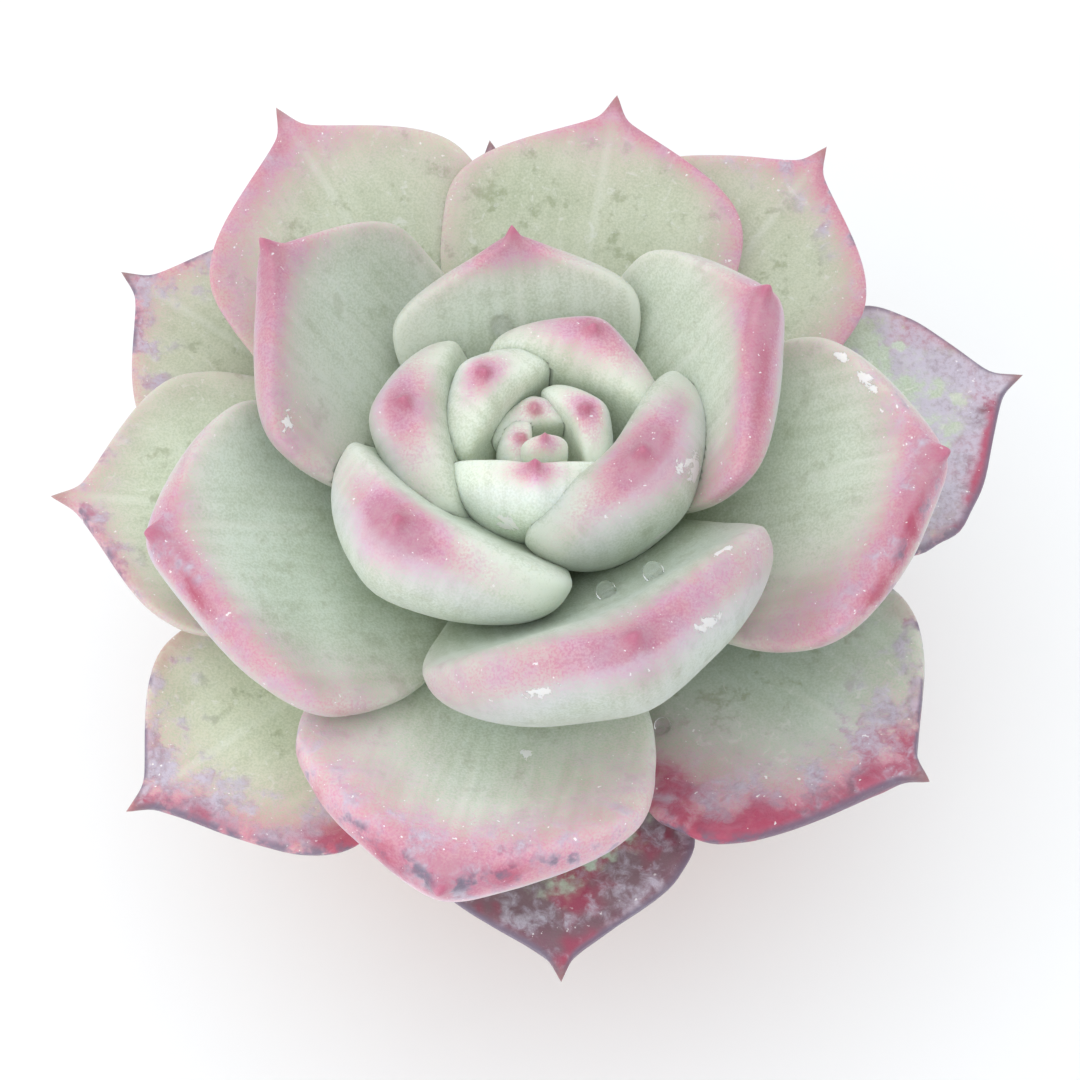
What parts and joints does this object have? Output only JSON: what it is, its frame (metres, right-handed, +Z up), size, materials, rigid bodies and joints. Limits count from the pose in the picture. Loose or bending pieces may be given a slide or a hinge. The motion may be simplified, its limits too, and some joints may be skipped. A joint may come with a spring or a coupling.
{
  "type": "potted rosette succulent",
  "caption": "Rosette succulent with thick, spoon-shaped, pointed leaves, pale green with pink margins, on a short stem in a small plain clay pot.",
  "frame": {"origin": "centre of the flat face that the pot stands on", "axes": "+Z up the stem out of the pot, +Y away from a viewer at the front, +X to that viewer's right"},
  "size_m": [0.1276, 0.1199, 0.1006],
  "materials": {
    "pot": "matt unglazed terracotta",
    "soil": "rough gritty potting mix",
    "stem": "matt, ringed with old leaf scars",
    "outer_leaf": "fleshy, matt wax bloom, weathered pink to purple margins",
    "middle_leaf": "fleshy, matt wax bloom, pink margins",
    "inner_leaf": "fleshy, satin wax bloom, pink points"
  },
  "bodies": {
    "root": {"pot": "pot", "soil": "soil", "stem": "stem", "outer_leaf_01": "outer_leaf", "outer_leaf_02": "outer_leaf", "outer_leaf_03": "outer_leaf", "outer_leaf_04": "outer_leaf", "outer_leaf_05": "outer_leaf", "outer_leaf_06": "outer_leaf", "outer_leaf_07": "outer_leaf", "outer_leaf_08": "outer_leaf", "outer_leaf_09": "outer_leaf", "outer_leaf_10": "outer_leaf", "middle_leaf_01": "middle_leaf", "middle_leaf_02": "middle_leaf", "middle_leaf_03": "middle_leaf", "middle_leaf_04": "middle_leaf", "middle_leaf_05": "middle_leaf", "middle_leaf_06": "middle_leaf", "inner_leaf_01": "inner_leaf", "inner_leaf_02": "inner_leaf", "inner_leaf_03": "inner_leaf", "inner_leaf_04": "inner_leaf", "inner_leaf_05": "inner_leaf", "heart_leaf_01": "inner_leaf", "heart_leaf_02": "inner_leaf", "heart_leaf_03": "inner_leaf", "heart_leaf_04": "inner_leaf", "heart_leaf_05": "inner_leaf", "heart_leaf_06": "inner_leaf"}
  },
  "joints": []
}
